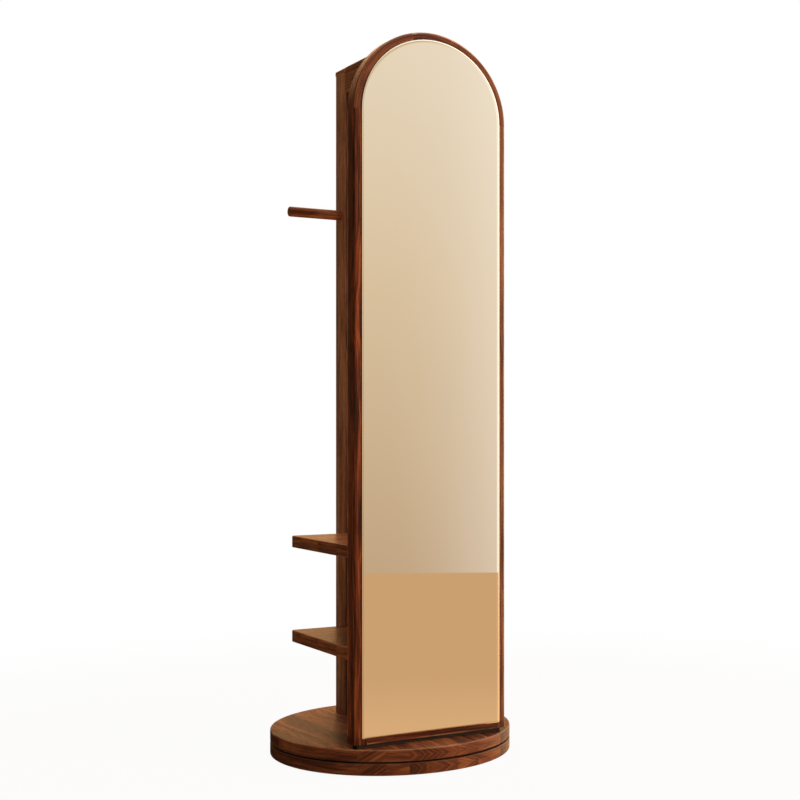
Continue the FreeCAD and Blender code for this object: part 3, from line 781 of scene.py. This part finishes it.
def make_floor():
    """A pale floor that the camera sees almost white, with the object's shadow on it."""
    bpy.ops.mesh.primitive_plane_add(size=2 * floor_half)
    floor = bpy.context.object
    floor.name = "studio_floor"
    graph = MaterialGraph("pale_floor")
    x, y, _ = graph.place()
    reach = (x * x + y * y) ** 0.5
    turn = x.math("ARCTAN2", y * -1.0)
    near = reach.between(floor_shade_radius, floor_clear_radius).spread(floor_white_near, 1.0)
    gain = reach.between(*floor_near).spread(1.0 + floor_near_gain, 1.0)
    camera, glossy = graph.rays("Is Camera Ray", "Is Glossy Ray")
    brightness = 1.0 + glossy * (glow(graph, turn, floor_glow, floor_peak) * gain - 1.0)
    lit = graph.add("ShaderNodeBsdfDiffuse", values={"Color": floor_colour})
    plain = graph.emission(graph.scaled(graph.mix(glossy, white, floor_reflected), brightness))
    graph.show(graph.add("ShaderNodeMixShader", values={0: camera * near + glossy, 1: lit, 2: plain}))
    floor.data.materials.append(graph.material)


def make_studio_walls():
    """A plain cream wall round the studio, which lights nothing and shows only in reflections."""
    bpy.ops.mesh.primitive_cylinder_add(
        vertices=studio_sides, radius=studio_radius, depth=studio_height, end_fill_type="NOTHING",
        location=(0, 0, studio_height / 2))
    walls = bpy.context.object
    walls.name = "studio_walls"
    graph = MaterialGraph("cream_wall")
    x, y, z = graph.place()
    height = z / studio_height + 0.5
    turn = x.math("ARCTAN2", y * -1.0)
    low, high = (glow(graph, turn, shares, wall_peak) for shares in (wall_glow, upper_glow))
    brightness = low + (high - low) * height.between(*upper_wall) + height.between(*top_wall) * top_glow
    colour = graph.ramp(height, wall_tones)
    colour = graph.mix(turn.between(*wall_bright_turn) * wall_bright_share, colour, wall_bright)
    colour = graph.mix(turn.math("ABSOLUTE").between(*wall_warm_turn), colour, wall_warm)
    graph.show(graph.emission(graph.scaled(colour, brightness)))
    walls.data.materials.append(graph.material)
    walls.visible_camera = False
    walls.visible_diffuse = False
    walls.visible_shadow = False
    walls.visible_transmission = False


def make_world():
    """A soft even light, with a white background for the camera and for reflections."""
    world = bpy.data.worlds.new("studio_world")
    bpy.context.scene.world = world
    world.use_nodes = True
    graph = Graph(world.node_tree)
    camera, glossy, through_glass = graph.rays("Is Camera Ray", "Is Glossy Ray", "Is Transmission Ray")
    seen = (camera + glossy + through_glass).math("MINIMUM", 1.0)
    soft = graph.add("ShaderNodeBackground", values={"Color": soft_light, "Strength": soft_strength})
    plain = graph.add("ShaderNodeBackground", values={"Color": white, "Strength": 1.0})
    both = graph.add("ShaderNodeMixShader", values={0: seen, 1: soft, 2: plain})
    graph.show(both, "ShaderNodeOutputWorld")


def make_lamps():
    """Large rectangular lamps that each face a point."""
    for name, place, aim, width, height, power, colour in lamps:
        lamp = bpy.data.lights.new(name, "AREA")
        lamp.shape = "RECTANGLE"
        lamp.size = width
        lamp.size_y = height
        lamp.energy = power
        lamp.color = colour
        holder = bpy.data.objects.new(name, lamp)
        holder.location = place
        holder.rotation_euler = (Vector(aim) - Vector(place)).to_track_quat("-Z", "Y").to_euler()
        holder.visible_glossy = False
        bpy.context.scene.collection.objects.link(holder)


def make_camera():
    lens = bpy.data.cameras.new("photo_camera")
    lens.sensor_width = sensor_width
    lens.lens = focal_pixels / image_size * sensor_width
    lens.shift_x = (image_size / 2 - axis_pixel_x) / image_size
    lens.shift_y = (axis_pixel_y - image_size / 2) / image_size
    camera = bpy.data.objects.new("photo_camera", lens)
    camera.location = camera_place
    camera.rotation_euler = (math.pi / 2, 0.0, -camera_turn)
    bpy.context.scene.collection.objects.link(camera)
    bpy.context.scene.camera = camera


def main():
    bpy.context.scene.view_settings.view_transform = "Standard"
    dress_wood()
    dress_the_rest()
    make_floor()
    make_studio_walls()
    make_world()
    make_lamps()
    make_camera()


main()
